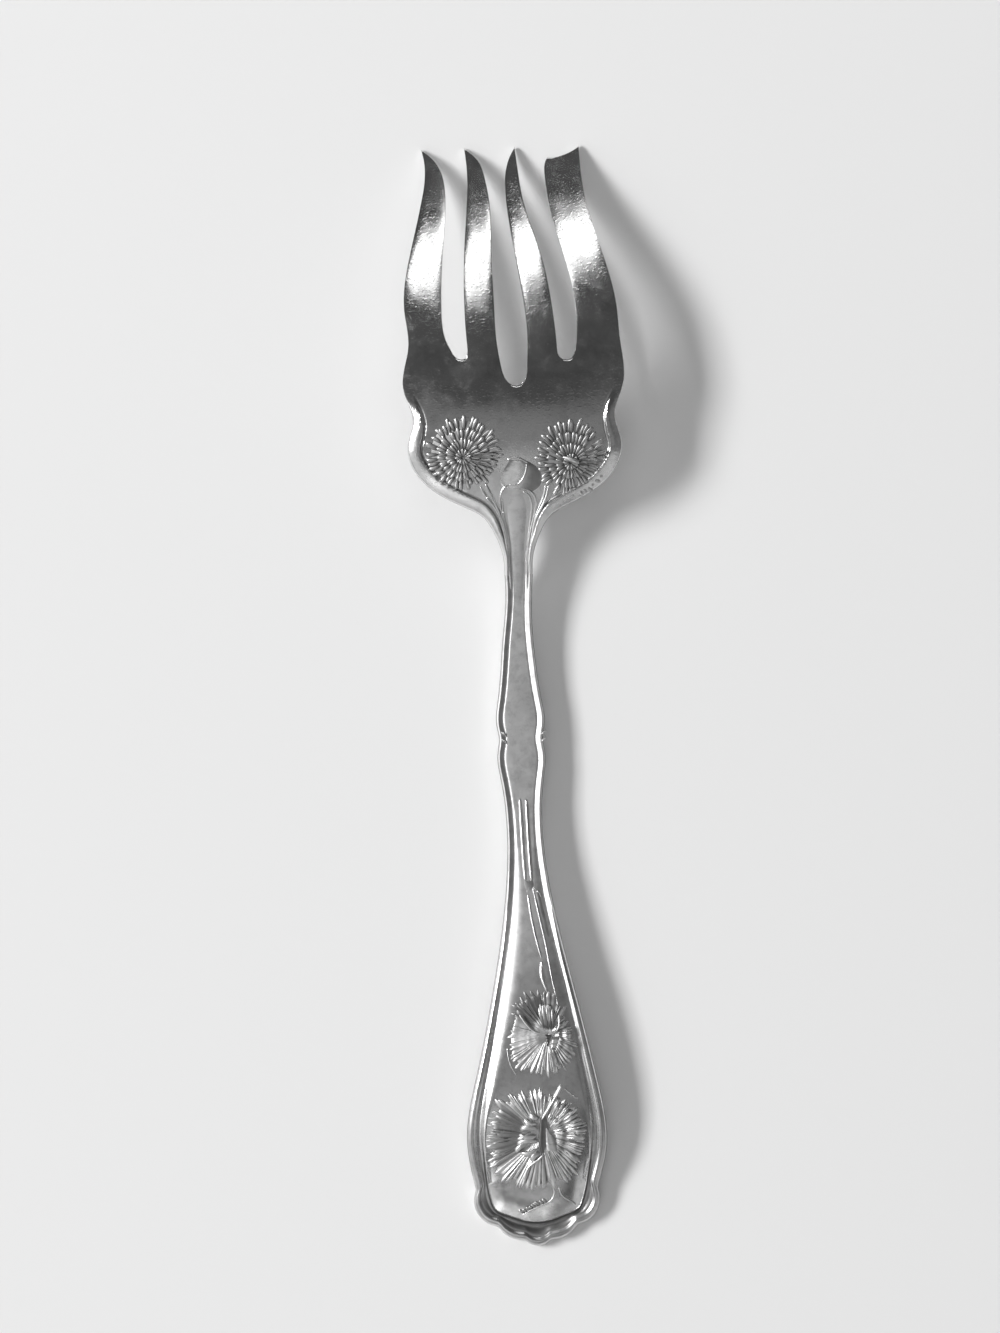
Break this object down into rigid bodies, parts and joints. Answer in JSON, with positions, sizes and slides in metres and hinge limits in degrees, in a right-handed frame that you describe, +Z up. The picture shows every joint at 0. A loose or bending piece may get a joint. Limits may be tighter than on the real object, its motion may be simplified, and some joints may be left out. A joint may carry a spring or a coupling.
{
  "type": "serving fork",
  "caption": "Broad silver serving fork with swept tines and a cutting edge, flower reliefs on the back of bowl and handle, and a moulded handle with a scalloped end.",
  "frame": {"origin": "middle of the fork's length and width, on the table it lies on", "axes": "+Y along the fork towards the tips of the tines, +Z up from the table, +X towards the cutting tine"},
  "size_m": [0.0431, 0.2164, 0.016],
  "materials": {
    "head_silver": "polished sterling silver with fine use scratches",
    "handle_silver": "polished sterling silver, slightly darkened inside the border",
    "relief_silver": "chased sterling silver, bright on the ridges and darkened in the recesses"
  },
  "bodies": {
    "root": {"head": "head_silver", "handle": "handle_silver", "bowl_flower_left": "relief_silver", "bowl_flower_right": "relief_silver", "bowl_stem_left": "relief_silver", "bowl_stem_right": "relief_silver", "handle_flower_upper": "relief_silver", "handle_flower_lower": "relief_silver", "handle_stems": "relief_silver"}
  },
  "joints": []
}
